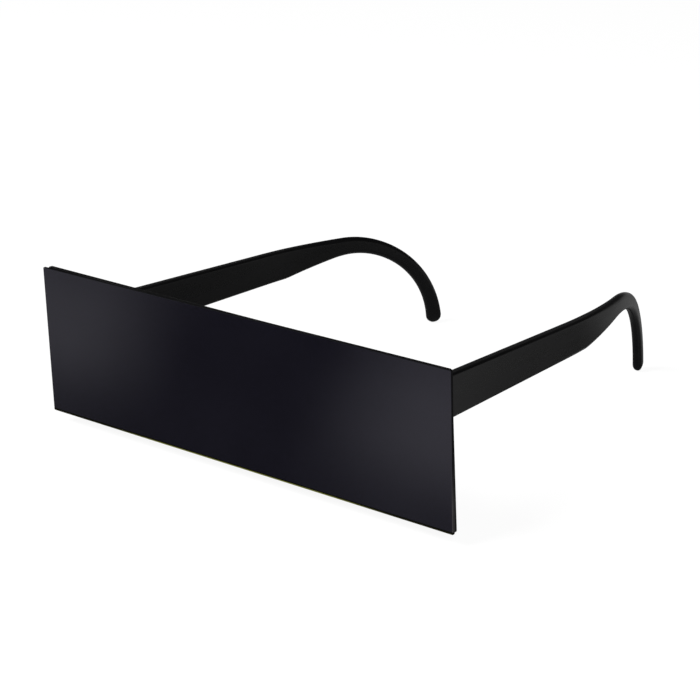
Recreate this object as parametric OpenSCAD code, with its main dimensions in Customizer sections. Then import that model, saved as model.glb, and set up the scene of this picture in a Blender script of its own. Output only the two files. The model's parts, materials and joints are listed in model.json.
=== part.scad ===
// Novelty bar sunglasses: one flat tinted panel carried on a moulded frame with two folding temples.
// X runs to the right seen from the front, Y to the rear, Z up. The origin is the middle of the
// panel's front face. The temples are drawn open, and each hinge turns about an upright pin.

/* [Panel] */
// Width of the tinted panel
panel_w = 160.6; // [150:0.1:176]
// Height of the tinted panel
panel_h = 47.6; // [44:0.1:56]
// Thickness of the tinted panel
panel_t = 0.8; // [0.6:0.1:2]
// Bevel broken along the panel's cut edges
panel_bevel = 0.15; // [0.05:0.05:0.3]

/* [Tape] */
// Width of each strip of double-sided tape
tape_w = 3; // [2:0.5:4]
// Thickness of the tape
tape_t = 0.2; // [0.1:0.05:0.4]
// Distance of the tape from the frame's outer edge
tape_margin = 0.8; // [0.4:0.1:1.2]
// Gap left between the ends of neighbouring strips
tape_end_gap = 0.4; // [0.2:0.1:1]

/* [Frame plate] */
// Distance that the panel stands past the frame's ends at their upper corners
rim_inset_top = 1.4; // [0.8:0.1:3]
// Distance that the panel stands past the frame's ends at their lower corners
rim_inset_low = 0.4; // [0.2:0.1:2]
// Distance that the panel stands past the frame's lower edge
rim_inset_z = 0.1; // [0.1:0.1:1.5]
// Distance that the frame's upper corners stand above the panel
rim_over = 0.2; // [-0.6:0.1:0.4]
// Depth of the shallow dip that the frame's upper edge has over the nose
brow_dip = 0.6; // [0.1:0.1:1]
// Thickness of the frame's flat plate
rim_t = 2.2; // [1.6:0.1:2.6]
// Radius of the frame's four corners
rim_corner_r = 0.5; // [0.4:0.1:4]
// Bevel round the frame's rear outer edge
rim_bevel = 1.4; // [0.2:0.1:1.5]

/* [Eye windows] */
// Distance from the middle of the frame to each window's upper nose corner
window_in = 9.5; // [8:0.5:11]
// Distance from the middle of the frame to each window's temple side
window_out = 56; // [50:0.5:57]
// Height of each window
window_h = 33; // [28:0.5:35]
// Distance that the lower nose corner stands further out than the upper one
window_slant = 5.5; // [3:0.5:8]
// Corner radius of the windows
window_r = 7; // [4:0.5:9]
// Width of the raised wire round each window
eyewire_w = 2.4; // [1.6:0.2:3]
// Height of the raised wire above the plate
eyewire_t = 1.3; // [0.8:0.1:2]
// Bevel round the wire's outer edge
eyewire_bevel = 0.4; // [0.2:0.1:0.6]

/* [Bridge and nose pads] */
// Height of the raised bridge bar
bridge_h = 7; // [5:0.5:9]
// Height of the bridge bar's middle above the panel's middle
bridge_z = 8.5; // [8:0.5:9.5]
// Corner radius of the bridge bar
bridge_r = 2; // [1:0.5:2]
// Distance that the nose pads reach behind the frame plate
pad_reach = 9.5; // [7:0.5:11]
// Thickness of the nose pads
pad_t = 2.2; // [1.8:0.1:3]
// Clear width between the pads at their upper ends
pad_gap_top = 14.5; // [12:0.5:16]
// Clear width between the pads at their lower ends
pad_gap_bottom = 21; // [18:0.5:24]
// Height of the pads along the nose
pad_h = 14; // [11:0.5:16]
// Height of the pads' upper ends above the panel's middle
pad_top_z = 1; // [-1:0.5:2]
// Depth of the pads' roots in the plate
pad_root = 0.7; // [0.4:0.1:1]
// Distance that the pads lean outwards towards their rear edges
pad_flare = 1.6; // [0.5:0.1:2.5]
// Distance that the rear edge starts below the root's upper end
pad_drop = 3.3; // [1:0.1:5]
// Distance that the rear edge ends above the root's lower end
pad_rise = 2.2; // [1:0.1:4]

/* [Nose notch] */
// Height of the notch's upper end above the panel's middle
notch_top_z = 3.5; // [2.5:0.5:4]
// Radius of the notch's two upper corners
notch_r = 5; // [3:0.5:6]
// Distance that the nose pads stand out into the notch
notch_side = 0.3; // [0.1:0.1:0.6]
// Bevel where the notch opens at the frame's lower edge
notch_flare = 1.5; // [0.5:0.5:2.5]

/* [Hinges] */
// Distance from the panel's face to the joint between lug and temple
joint_y = 13.8; // [13:0.1:16]
// Gap between lug and temple when the temple is open
joint_gap = 0.2; // [0.15:0.05:0.3]
// Radius of the fillets where a lug grows out of the plate
lug_fillet = 2.5; // [1.5:0.5:3]
// Radius of the hinge knuckles
knuckle_r = 1.5; // [1.4:0.05:1.7]
// Height of each outer knuckle
knuckle_outer_h = 2; // [1.6:0.1:2.4]
// Height of the middle knuckle
knuckle_mid_h = 2.4; // [2:0.1:3]
// Running gap between the knuckles' ends
knuckle_end_gap = 0.1; // [0.05:0.01:0.15]
// Radius of the screw's shank
screw_r = 0.7; // [0.6:0.05:0.8]
// Radial running clearance of the knuckles on the shank
screw_fit = 0.05; // [0.02:0.01:0.08]
// Radius of the screw's head
screw_head_r = 1.25; // [1.1:0.05:1.4]
// Height of the screw's head
screw_head_h = 0.7; // [0.5:0.1:0.9]
// Length of the screw's tip below the lowest knuckle
screw_tip = 0.4; // [0.2:0.1:0.6]
// Width of the slot in the screw's head
slot_w = 0.4; // [0.3:0.05:0.5]
// Depth of the slot in the screw's head
slot_d = 0.35; // [0.2:0.05:0.4]
// Length of the leaf beyond the knuckle's neck
leaf_len = 6.5; // [5:0.5:7]
// Thickness of the leaf
leaf_t = 1.1; // [0.9:0.1:1.2]
// Depth that the leaf is set into the plastic
leaf_sink = 0.55; // [0.4:0.05:0.7]
// Radius of the leaf's far corners
leaf_corner_r = 1; // [0.5:0.1:1.5]
// Distance of the pin's axis in front of the plastic's inner face
pin_offset = 0.6; // [0.5:0.05:0.8]
// Radius of the leaf's two anchor studs
anchor_r = 0.8; // [0.6:0.1:1]
// Length of the anchor studs in the plastic
anchor_len = 1.5; // [1:0.1:1.7]
// Distance of each stud from its end of the leaf
anchor_inset = 1.6; // [1.2:0.1:2]
// Clearance of metal set into plastic
seat_gap = 0.02; // [0.01:0.01:0.05]
// Clearance between the turning knuckles and the plastic round them
relief_gap = 0.3; // [0.25:0.05:0.4]

/* [Temples] */
// Distance from the middle of the frame to the middle of a blade, at the panel's face
temple_x = 64.84; // [63:0.02:67]
// Angle by which an open temple points inwards
toe_in = 2.22; // [1:0.01:3]
// Thickness of the blade
blade_t = 3.2; // [2.8:0.1:3.6]
// Radius along the blade's edges
blade_edge_r = 0.9; // [0.5:0.1:1.3]
// Width of the flat left between two rounded edges where the limb is round
blade_flat = 0.1; // [0.05:0.05:0.5]
// Height of the blade's upper edge at the joint
blade_top_z = 14.2; // [13:0.1:16]
// Height of the blade's lower edge at the joint
blade_low_z = 0.8; // [-1:0.1:1.5]
// Distance from the panel's face to the rearmost point of the hooks
temple_reach = 151.3; // [140:0.1:160]
// Distance from the knee in the lower edge to the hooks' rearmost point
knee_back = 61.5; // [56:0.1:66]
// Height of the lower edge at the knee
knee_z = 0.65; // [-1:0.05:1]
// Distance from where the blade starts to bend inwards to the hooks' rearmost point
bend_back = 70.9; // [64:0.1:77]
// Radius of the inward bend, seen from above
bend_r = 151; // [125:1:165]
// Angle at which the inward bend ends
bend_end = 23.4; // [18:0.1:25]

/* [Ear hooks] */
// Height of the top of the hook's outer curve
hook_top_z = 9.68; // [8:0.01:10.5]
// Radius of the hook's outer curve
hook_outer_r = 38.2; // [36:0.1:41]
// Radius of the hook's inner curve
hook_inner_r = 30; // [29:0.1:31.5]
// Height of the limb where the hook starts
limb_h = 6.25; // [5:0.05:7]
// Distance that the inner curve's middle lies behind the outer curve's middle
hook_shift = 2.85; // [2:0.05:3.5]
// How many times longer the inner curve runs in front of its top than behind it
arch_lead = 1.24; // [1:0.01:1.4]
// Angle below the horizontal, about the hook's middle, at which the tip ends
tip_angle = -0.1; // [-6:0.1:6]

/* [Hidden] */

// How finely round things are drawn
round_fn = 48;
pad_fn = 24;
corner_steps = 6;
cut = 1;

// Which way a hinge half lies from the joint
to_front = -1;
to_rear = 1;

// Places along Y, from the face of the panel to the rear
frame_y = panel_t + tape_t;
plate_y = frame_y + rim_t;
wire_y = plate_y + eyewire_t;

// Half the frame's widths above and below, and the heights of its lower edge and upper corners
frame_top_hw = panel_w / 2 - rim_inset_top;
frame_low_hw = panel_w / 2 - rim_inset_low;
frame_low_z = rim_inset_z - panel_h / 2;
frame_top_z = panel_h / 2 + rim_over;

// The blade where it meets the lug
joint_x = temple_x - joint_y * tan(toe_in);
root_out_x = joint_x + blade_t / 2;
root_in_x = root_out_x - blade_t;

// The hinge: its pin stands just inside the plastic's inner face, at the joint
pin_x = root_in_x - pin_offset;
pin_y = joint_y;
hinge_h = 2 * knuckle_outer_h + knuckle_mid_h + 2 * knuckle_end_gap;
hinge_z = (blade_top_z + blade_low_z) / 2;
leaf_in_x = root_in_x + leaf_sink - leaf_t;
relief_r = knuckle_r + relief_gap;
anchor_places = [relief_r + anchor_inset, relief_r + leaf_len - anchor_inset];

// The places of the knee, of the bend's start and of the hook's top
knee_y = temple_reach - knee_back;
bend_y = temple_reach - bend_back;
hook_y = temple_reach - hook_outer_r;

// The hook's two curves in the side view, as [y, z], and the point that its sections turn about
outer_c = [hook_y, hook_top_z - hook_outer_r];
inner_c = [hook_y + hook_shift, hook_top_z - limb_h - hook_inner_r];
turn_c = (outer_c + inner_c) / 2;

// Sections along a temple
blade_step = 4;
hook_step = 3.75;
cap_steps = 5;
ring_corner_steps = 4;
hook_start = 90;

// Length of a plane vector, and the unit vector along it
function len2(v) = sqrt(v[0] * v[0] + v[1] * v[1]);
function unit2(v) = v / len2(v);

// Tilt of the line from p that touches the upper side of the circle of middle c and radius r
function touch_tilt(p, c, r) = atan2(c[1] - p[1], c[0] - p[0]) + asin(r / len2(c - p));

// A distance y moved towards the middle of the hook's inner curve, so that its long front is a circle's
function arch_y(y) = y < inner_c[0] ? inner_c[0] + (y - inner_c[0]) / arch_lead : y;

// Points of one rounded corner at p, between the corners a and b before and after it
function corner_arc(a, p, b, r, steps) =
    let(u = unit2(a - p), w = unit2(b - p), half = acos(u * w) / 2)
    let(c = p + unit2(u + w) * r / sin(half), s = p + u * r / tan(half) - c, e = p + w * r / tan(half) - c)
    let(a0 = atan2(s[1], s[0]), turn = atan2(e[1], e[0]) - a0)
    let(sweep = turn > 180 ? turn - 360 : (turn < -180 ? turn + 360 : turn))
    [for (i = [0 : steps]) c + r * [cos(a0 + sweep * i / steps), sin(a0 + sweep * i / steps)]];

// An outline with every corner rounded by the same radius
function rounded(pts, r, steps) =
    let(n = len(pts))
    [for (i = [0 : n - 1], p = corner_arc(pts[(i + n - 1) % n], pts[i], pts[(i + 1) % n], r, steps)) p];

// A rectangle given by its lowest and highest corners
function box2(x0, z0, x1, z1) = [[x0, z0], [x1, z0], [x1, z1], [x0, z1]];

// A rectangle whose corners are cut off by c
function bevelled(x0, z0, x1, z1, c) = [[x0 + c, z0], [x1 - c, z0], [x1, z0 + c], [x1, z1 - c],
    [x1 - c, z1], [x0 + c, z1], [x0, z1 - c], [x0, z0 + c]];

// The frame's outline, each side moved inwards by shrink
function frame_outline(shrink) =
    rounded([[shrink - frame_low_hw, shrink + frame_low_z], [frame_low_hw - shrink, shrink + frame_low_z],
    [frame_top_hw - shrink, frame_top_z - shrink], [shrink - frame_top_hw, frame_top_z - shrink]],
    rim_corner_r, corner_steps);

// The right eye window's corners, each side moved outwards by grow
function window_corners(grow) =
    [[window_in + window_slant - grow, -window_h / 2 - grow], [window_out + grow, -window_h / 2 - grow],
    [window_out + grow, window_h / 2 + grow], [window_in - grow, window_h / 2 + grow]];

// Half the width of the nose notch at a height: its sides run along the nose pads
pad_slope = (pad_gap_bottom - pad_gap_top) / 2 / pad_h;
function notch_x(z) = pad_gap_top / 2 + notch_side + (pad_top_z - z) * pad_slope;

// Blade edges in the side view: straight from the joint, then on to the hook's curves
top_tilt = touch_tilt([joint_y, blade_top_z], outer_c, hook_outer_r);
top_touch_y = outer_c[0] - hook_outer_r * sin(top_tilt);
rise_tilt = touch_tilt([arch_y(knee_y), knee_z], inner_c, hook_inner_r);
rise_slope = tan(rise_tilt) / arch_lead;
rise_touch_y = inner_c[0] - hook_inner_r * sin(rise_tilt) * arch_lead;
low_slope = (knee_z - blade_low_z) / (knee_y - joint_y);
function circle_z(y, c, r) = c[1] + sqrt(r * r - (y - c[0]) * (y - c[0]));
function top_z(y) = y < top_touch_y ? blade_top_z + (y - joint_y) * tan(top_tilt)
    : circle_z(y, outer_c, hook_outer_r);
function low_z(y) = y < knee_y ? blade_low_z + (y - joint_y) * low_slope
    : (y < rise_touch_y ? knee_z + (y - knee_y) * rise_slope : circle_z(arch_y(y), inner_c, hook_inner_r));

// The middle of a temple seen from above: straight, then one arc, then straight again
arc_end_y = bend_y + bend_r * (sin(bend_end) - sin(toe_in));
function turn_at(y) = y < bend_y ? toe_in
    : (y > arc_end_y ? bend_end : asin(sin(toe_in) + (y - bend_y) / bend_r));
function middle_x(y) = temple_x - min(y, bend_y) * tan(toe_in)
    - (y > bend_y ? bend_r * (cos(toe_in) - cos(turn_at(y))) : 0)
    - max(0, y - arc_end_y) * tan(bend_end);

// Place of a point of the side view, at distance v from the temple's middle
function placed(yz, v) = let(a = turn_at(yz[0]))
    [middle_x(yz[0]) + v * cos(a), yz[0] + v * sin(a), yz[1]];

// One section of a temple between the side view's upper point t and lower point b.
// The edges get rounder from the knee on, until the limb is round all over. shrink closes the tip.
function round_at(y) = let(k = min(1, max(0, (y - knee_y) / (hook_y - knee_y))))
    blade_edge_r + ((blade_t - blade_flat) / 2 - blade_edge_r) * k;
function section(t, b, shrink) =
    let(m = (t + b) / 2, n = unit2(t - b), h = len2(t - b) / 2 * shrink, v = blade_t / 2 * shrink)
    [for (p = rounded(box2(-v, -h, v, h), round_at(m[0]) * shrink, ring_corner_steps))
        placed(m + n * p[1], p[0])];

// A ray from the hook's turning point, at the angle a above the rear, to the circle of middle c
function ray_to(a, c, r) =
    let(d = [cos(a), sin(a)], w = c - turn_c, along = w * d)
    turn_c + d * (along + sqrt(r * r - w * w + along * along));
function hook_outer(a) = ray_to(a, outer_c, hook_outer_r);
function hook_inner(a) = ray_to(a, inner_c, hook_inner_r);

// Half the limb's width at the tip is the length of its rounded end
tip_half = len2(hook_outer(tip_angle) - hook_inner(tip_angle)) / 2;
cap_angle = atan(tip_half / len2((hook_outer(tip_angle) + hook_inner(tip_angle)) / 2 - turn_c));
limb_end = tip_angle + cap_angle;
blade_y0 = joint_y + joint_gap;
blade_rings = ceil((turn_c[0] - blade_y0) / blade_step);
hook_rings = ceil((hook_start - limb_end) / hook_step);
blade_ys = [for (i = [0 : blade_rings - 1]) blade_y0 + (turn_c[0] - blade_y0) * i / blade_rings];
knee_ys = concat([for (y = blade_ys) if (y < knee_y) y], [knee_y], [for (y = blade_ys) if (y > knee_y) y]);
temple_rings = concat(
    [for (y = knee_ys) section([y, top_z(y)], [y, low_z(y)], 1)],
    [for (i = [0 : hook_rings]) let(a = hook_start - (hook_start - limb_end) * i / hook_rings)
        section(hook_outer(a), hook_inner(a), 1)],
    [for (i = [1 : cap_steps - 1]) let(s = 90 * i / cap_steps, a = limb_end - cap_angle * sin(s))
        section(hook_outer(a), hook_inner(a), cos(s))]);
tip_point = placed((hook_outer(tip_angle) + hook_inner(tip_angle)) / 2, 0);

// Draws an outline of the front view from one depth to another
module from_front(y0, y1) {
    translate([0, y1, 0])
        rotate([90, 0, 0])
            linear_extrude(height = y1 - y0)
                children();
}

// Draws an outline of the side view from one width to another
module from_side(x0, x1) {
    translate([x0, 0, 0])
        rotate([90, 0, 90])
            linear_extrude(height = x1 - x0)
                children();
}

// Draws an outline seen from above from one height to another
module from_above(z0, z1) {
    translate([0, 0, z0])
        linear_extrude(height = z1 - z0)
            children();
}

// Draws the right-hand piece, or its mirror image on the left
module on_side(left) {
    mirror([left ? 1 : 0, 0, 0])
        children();
}

// The panel: a flat plate with every edge of both faces lightly broken
module bar_panel() {
    color([0.13, 0.13, 0.15])
        intersection() {
            from_above(-panel_h / 2, panel_h / 2)
                polygon(bevelled(-panel_w / 2, 0, panel_w / 2, panel_t, panel_bevel));
            from_side(-panel_w / 2, panel_w / 2)
                polygon(bevelled(0, -panel_h / 2, panel_t, panel_h / 2, panel_bevel));
        }
}

// The tape strips between the panel's back and the frame's front. Two lie below, beside the notch.
tape_hw = frame_top_hw - tape_margin;
tape_low = frame_low_z + tape_margin;
tape_high = -tape_low;
tape_side_hh = tape_high - tape_w - tape_end_gap;
tape_end = tape_hw - tape_margin;
module tape(x0, z0, x1, z1) {
    color([0.85, 0.85, 0.8])
        from_front(panel_t, frame_y)
            polygon(box2(x0, z0, x1, z1));
}
module panel_tape_top() {
    tape(-tape_end, tape_high - tape_w, tape_end, tape_high);
}
module panel_tape_left() {
    tape(-tape_hw, -tape_side_hh, -tape_hw + tape_w, tape_side_hh);
}
module panel_tape_right() {
    tape(tape_hw - tape_w, -tape_side_hh, tape_hw, tape_side_hh);
}
module panel_tape_bottom_right() {
    tape(notch_x(frame_low_z) + notch_flare + tape_margin, tape_low, tape_end, tape_low + tape_w);
}
module panel_tape_bottom_left() {
    on_side(true)
        panel_tape_bottom_right();
}

// The flat plate behind the panel, bevelled round its rear edge, with the notch for the nose and the
// shallow dip over it
module frame_plate() {
    low = frame_low_z;
    dip_hw = frame_top_hw - rim_corner_r;
    difference() {
        hull() {
            from_front(frame_y, plate_y - rim_bevel)
                polygon(frame_outline(0));
            from_front(frame_y, plate_y)
                polygon(frame_outline(rim_bevel));
        }
        from_front(frame_y - cut, plate_y + cut)
            polygon(rounded([[-notch_x(low), low - cut], [notch_x(low), low - cut],
                [notch_x(notch_top_z), notch_top_z], [-notch_x(notch_top_z), notch_top_z]],
                notch_r, corner_steps));
        from_front(frame_y - cut, plate_y + cut)
            polygon([[-notch_x(low) - notch_flare - cut, low - cut], [notch_x(low) + notch_flare + cut, low - cut],
                [notch_x(low + notch_flare), low + notch_flare], [-notch_x(low + notch_flare), low + notch_flare]]);
        from_front(frame_y - cut, plate_y + cut)
            polygon([[-dip_hw, frame_top_z], [0, frame_top_z - brow_dip], [dip_hw, frame_top_z],
                [dip_hw, frame_top_z + cut], [-dip_hw, frame_top_z + cut]]);
    }
}

// A moulded nose pad: a thin wing that reaches back from the notch and opens downwards
pad_r = pad_t / 2;
pad_root_y = plate_y - pad_root;
pad_tip_y = plate_y + pad_reach - pad_r;
pad_low_z = pad_top_z - pad_h;
module nose_pad() {
    top_x = pad_gap_top / 2 + pad_r;
    low_x = pad_gap_bottom / 2 + pad_r;
    hull() {
        for (p = [[top_x, pad_root_y, pad_top_z], [low_x, pad_root_y, pad_low_z],
            [top_x + pad_flare, pad_tip_y - pad_t, pad_top_z - pad_drop],
            [low_x + pad_flare, pad_tip_y, pad_low_z + pad_rise]])
            translate(p)
                sphere(r = pad_r, $fn = pad_fn);
    }
}

// The raised wire round the right eye window, bevelled round its outer edge
module eyewire() {
    hull() {
        from_front(plate_y - cut, wire_y - eyewire_bevel)
            polygon(rounded(window_corners(eyewire_w), window_r + eyewire_w, corner_steps));
        from_front(plate_y - cut, wire_y)
            polygon(rounded(window_corners(eyewire_w - eyewire_bevel), window_r + eyewire_w - eyewire_bevel,
                corner_steps));
    }
}

// The lug: an upright wall behind the plate with the temple's own outline, filleted at its root
module lug() {
    from_front(plate_y - cut, joint_y)
        polygon(rounded(box2(root_in_x, blade_low_z, root_out_x, blade_top_z), blade_edge_r, corner_steps));
    for (side = [[root_out_x, 1], [root_in_x, -1]]) {
        translate([side[0], plate_y, 0])
            scale([side[1], 1, 1])
                from_above(blade_low_z + blade_edge_r, blade_top_z - blade_edge_r)
                    difference() {
                        translate([-cut, -cut])
                            square([lug_fillet + cut, lug_fillet + cut]);
                        translate([lug_fillet, lug_fillet])
                            circle(r = lug_fillet, $fn = round_fn);
                    }
    }
}

// What the hinge cuts out of a lug (toward the front) or a temple (toward the rear)
module hinge_cut(toward) {
    low = hinge_z - hinge_h / 2;
    high = hinge_z + hinge_h / 2;
    translate([pin_x, pin_y, low - screw_tip - relief_gap])
        cylinder(r = relief_r, h = hinge_h + screw_tip + screw_head_h + 2 * relief_gap, $fn = round_fn);
    leaf_end = relief_r + leaf_len + seat_gap;
    translate([root_in_x - cut, toward > 0 ? pin_y : pin_y - leaf_end, low - seat_gap])
        cube([cut + leaf_sink + seat_gap, leaf_end, high - low + 2 * seat_gap]);
    for (place = anchor_places)
        translate([root_in_x, pin_y + toward * place, hinge_z])
            rotate([0, 90, 0])
                cylinder(r = anchor_r + seat_gap, h = leaf_sink + anchor_len + seat_gap, $fn = round_fn);
}

// The frame: plate, eye windows with their raised wires, bridge bar, nose pads and lugs
module front_frame() {
    color([0.1, 0.1, 0.11])
        difference() {
            union() {
                frame_plate();
                for (left = [false, true])
                    on_side(left) {
                        eyewire();
                        nose_pad();
                        lug();
                    }
                from_front(plate_y - cut, wire_y)
                    polygon(rounded(box2(-window_in, bridge_z - bridge_h / 2, window_in,
                        bridge_z + bridge_h / 2), bridge_r, corner_steps));
            }
            for (left = [false, true])
                on_side(left) {
                    from_front(frame_y - cut, wire_y + cut)
                        polygon(rounded(window_corners(0), window_r, corner_steps));
                    hinge_cut(to_front);
                }
        }
}

// One knuckle with the neck that joins it to its leaf, before the pin's bore
module knuckle(z0, h, toward) {
    translate([pin_x, pin_y, z0])
        cylinder(r = knuckle_r, h = h, $fn = round_fn);
    neck = relief_r + cut;
    translate([leaf_in_x, toward > 0 ? pin_y : pin_y - neck, z0])
        cube([leaf_t, neck, h]);
}

// The leaf's plate with rounded far corners, and its two anchor studs
module leaf_plate(toward) {
    y0 = pin_y + toward * relief_r;
    y1 = pin_y + toward * (relief_r + leaf_len);
    from_side(leaf_in_x, leaf_in_x + leaf_t)
        polygon(rounded(box2(min(y0, y1), hinge_z - hinge_h / 2, max(y0, y1), hinge_z + hinge_h / 2),
            leaf_corner_r, corner_steps));
    for (place = anchor_places)
        translate([leaf_in_x, pin_y + toward * place, hinge_z])
            rotate([0, 90, 0])
                cylinder(r = anchor_r, h = leaf_t + anchor_len, $fn = round_fn);
}

// The front leaf carries the two outer knuckles
module front_leaf() {
    low = hinge_z - hinge_h / 2;
    color([0.72, 0.72, 0.74])
        difference() {
            union() {
                leaf_plate(to_front);
                knuckle(low, knuckle_outer_h, to_front);
                knuckle(low + hinge_h - knuckle_outer_h, knuckle_outer_h, to_front);
            }
            translate([pin_x, pin_y, low - cut])
                cylinder(r = screw_r + seat_gap, h = hinge_h + 2 * cut, $fn = round_fn);
        }
}

// The temple leaf carries the middle knuckle, which turns on the screw
module temple_leaf() {
    low = hinge_z - knuckle_mid_h / 2;
    color([0.72, 0.72, 0.74])
        difference() {
            union() {
                leaf_plate(to_rear);
                knuckle(low, knuckle_mid_h, to_rear);
            }
            translate([pin_x, pin_y, low - cut])
                cylinder(r = screw_r + screw_fit, h = knuckle_mid_h + 2 * cut, $fn = round_fn);
        }
}

// The hinge screw: a turned shank with a cheese head, which has a slot across it
module hinge_screw() {
    high = hinge_z + hinge_h / 2;
    low = high - hinge_h - screw_tip;
    top = high + screw_head_h;
    color([0.62, 0.62, 0.65])
        difference() {
            translate([pin_x, pin_y, 0])
                rotate_extrude($fn = round_fn)
                    polygon([[0, low], [screw_r, low], [screw_r, high], [screw_head_r, high],
                        [screw_head_r, top], [0, top]]);
            translate([pin_x - screw_head_r - cut, pin_y - slot_w / 2, top - slot_d])
                cube([2 * (screw_head_r + cut), slot_w, slot_d + cut]);
        }
}

// A temple: its sections joined into one skin, less what the hinge takes out
module temple() {
    n = len(temple_rings[0]);
    last = len(temple_rings) - 1;
    points = concat([for (ring = temple_rings, p = ring) p], [tip_point]);
    faces = concat(
        [[for (i = [n - 1 : -1 : 0]) i]],
        [for (k = [0 : last - 1], i = [0 : n - 1]) [k * n + i, k * n + (i + 1) % n, (k + 1) * n + i]],
        [for (k = [0 : last - 1], i = [0 : n - 1])
            [(k + 1) * n + i, k * n + (i + 1) % n, (k + 1) * n + (i + 1) % n]],
        [for (i = [0 : n - 1]) [last * n + i, last * n + (i + 1) % n, len(points) - 1]]);
    color([0.1, 0.1, 0.11])
        difference() {
            polyhedron(points = points, faces = faces, convexity = 6);
            hinge_cut(to_rear);
        }
}

module right_front_leaf() {
    on_side(false)
        front_leaf();
}
module left_front_leaf() {
    on_side(true)
        front_leaf();
}
module right_hinge_screw() {
    on_side(false)
        hinge_screw();
}
module left_hinge_screw() {
    on_side(true)
        hinge_screw();
}
module right_temple_leaf() {
    on_side(false)
        temple_leaf();
}
module left_temple_leaf() {
    on_side(true)
        temple_leaf();
}
module right_temple() {
    on_side(false)
        temple();
}
module left_temple() {
    on_side(true)
        temple();
}

bar_panel();
panel_tape_top();
panel_tape_left();
panel_tape_right();
panel_tape_bottom_left();
panel_tape_bottom_right();
front_frame();
right_front_leaf();
left_front_leaf();
right_hinge_screw();
left_hinge_screw();
right_temple_leaf();
left_temple_leaf();
right_temple();
left_temple();
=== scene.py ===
import bpy
import bmesh
import json
import math
from mathutils import Matrix, Vector


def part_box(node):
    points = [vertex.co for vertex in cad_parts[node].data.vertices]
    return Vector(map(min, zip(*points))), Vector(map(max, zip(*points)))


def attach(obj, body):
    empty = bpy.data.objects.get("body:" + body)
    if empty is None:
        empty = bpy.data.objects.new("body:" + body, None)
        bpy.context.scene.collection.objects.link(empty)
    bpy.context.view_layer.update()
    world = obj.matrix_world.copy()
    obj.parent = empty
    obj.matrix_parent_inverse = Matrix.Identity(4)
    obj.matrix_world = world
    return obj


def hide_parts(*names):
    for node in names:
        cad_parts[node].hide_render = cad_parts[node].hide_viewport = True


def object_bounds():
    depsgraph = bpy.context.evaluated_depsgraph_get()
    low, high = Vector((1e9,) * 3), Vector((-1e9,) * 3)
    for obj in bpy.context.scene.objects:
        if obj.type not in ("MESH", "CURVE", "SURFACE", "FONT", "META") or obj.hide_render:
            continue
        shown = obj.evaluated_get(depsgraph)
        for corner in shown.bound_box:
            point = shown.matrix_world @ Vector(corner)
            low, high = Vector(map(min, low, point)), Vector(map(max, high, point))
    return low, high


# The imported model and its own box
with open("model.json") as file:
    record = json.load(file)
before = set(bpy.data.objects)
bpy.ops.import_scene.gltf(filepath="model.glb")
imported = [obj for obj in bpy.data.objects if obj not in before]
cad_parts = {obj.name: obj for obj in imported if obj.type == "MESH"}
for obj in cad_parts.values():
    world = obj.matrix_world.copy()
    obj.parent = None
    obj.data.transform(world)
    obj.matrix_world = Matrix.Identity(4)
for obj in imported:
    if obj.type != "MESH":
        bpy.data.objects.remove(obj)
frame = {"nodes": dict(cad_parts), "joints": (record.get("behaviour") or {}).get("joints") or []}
cad_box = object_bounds()
MM = 0.001

# The moulded front
# One injection-moulded piece of black plastic: a flat plate with two eye windows, a raised wire round
# each of them, a bridge bar, a notch for the nose with two moulded pads, and a lug at each side for
# the hinge. It is moulded in one shot and tumbled, so every outer edge is slightly rounded.
frame_low, frame_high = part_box("front_frame")
plate_front = frame_low.y
plate_rear = plate_front + 2.2 * MM
wire_rear = plate_rear + 1.3 * MM
window_in, window_out, window_hh = 9.5 * MM, 56 * MM, 16.5 * MM
window_slant, window_r = 5.5 * MM, 7 * MM
wire_w = 2.4 * MM
corner_r, rear_bevel = 0.5 * MM, 1.0 * MM
brow_low, brow_right, brow_r = 0.67 * MM, 0.58 * MM, 3000 * MM
bridge_hw, bridge_low, bridge_high, bridge_r = 10.5 * MM, 5 * MM, 12 * MM, 2 * MM
raised_root = plate_rear - 0.9 * MM
outer_edge, raised_edge, opening_edge = 0.2 * MM, 0.4 * MM, 0.25 * MM
pad_r = 1.1 * MM
pad_reach = 9.5 * MM
pad_top = Vector((8.35, 0, 1)) * MM
pad_low = Vector((11.6, 0, -13)) * MM
notch_top, notch_flare = 3.5 * MM, 1.5 * MM
pin = Vector(next(j["pos_m"] for j in frame["joints"] if j["child"] == "right_arm"))
blade_t = 3.2 * MM
blade_edge_r = 0.9 * MM
root_in_x = pin.x + 0.6 * MM
root_out_x = root_in_x + blade_t
blade_low, blade_top = 0.8 * MM, 14.2 * MM
leaf_low, leaf_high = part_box("right_front_leaf")
leaf_len, leaf_sink = 6.5 * MM, 0.55 * MM
stud_places, stud_r, stud_len = (1.6 * MM, 4.9 * MM), 0.8 * MM, 1.5 * MM
relief_r = 1.8 * MM
seat_gap = 0.02 * MM
screw_low, screw_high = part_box("right_hinge_screw")


def rounded(corners, radii, steps=10):
    """Points of a flat outline with rounded corners. One radius, or one for each corner."""
    points = []
    for i, corner in enumerate(corners):
        p = Vector(corner)
        radius = radii if isinstance(radii, float) else radii[i]
        before = (Vector(corners[i - 1]) - p).normalized()
        after = (Vector(corners[(i + 1) % len(corners)]) - p).normalized()
        half = before.angle(after) / 2
        middle = p + (before + after).normalized() * radius / math.sin(half)
        start = p + before * radius / math.tan(half) - middle
        turn = (math.pi - 2 * half) * (1 if after.cross(before) > 0 else -1)
        points += [middle + Matrix.Rotation(turn * k / steps, 2) @ start for k in range(steps + 1)]
    return points


def in_scene(name, data):
    """A new object in the scene, at the origin."""
    piece = bpy.data.objects.new(name, data)
    bpy.context.scene.collection.objects.link(piece)
    return piece


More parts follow.
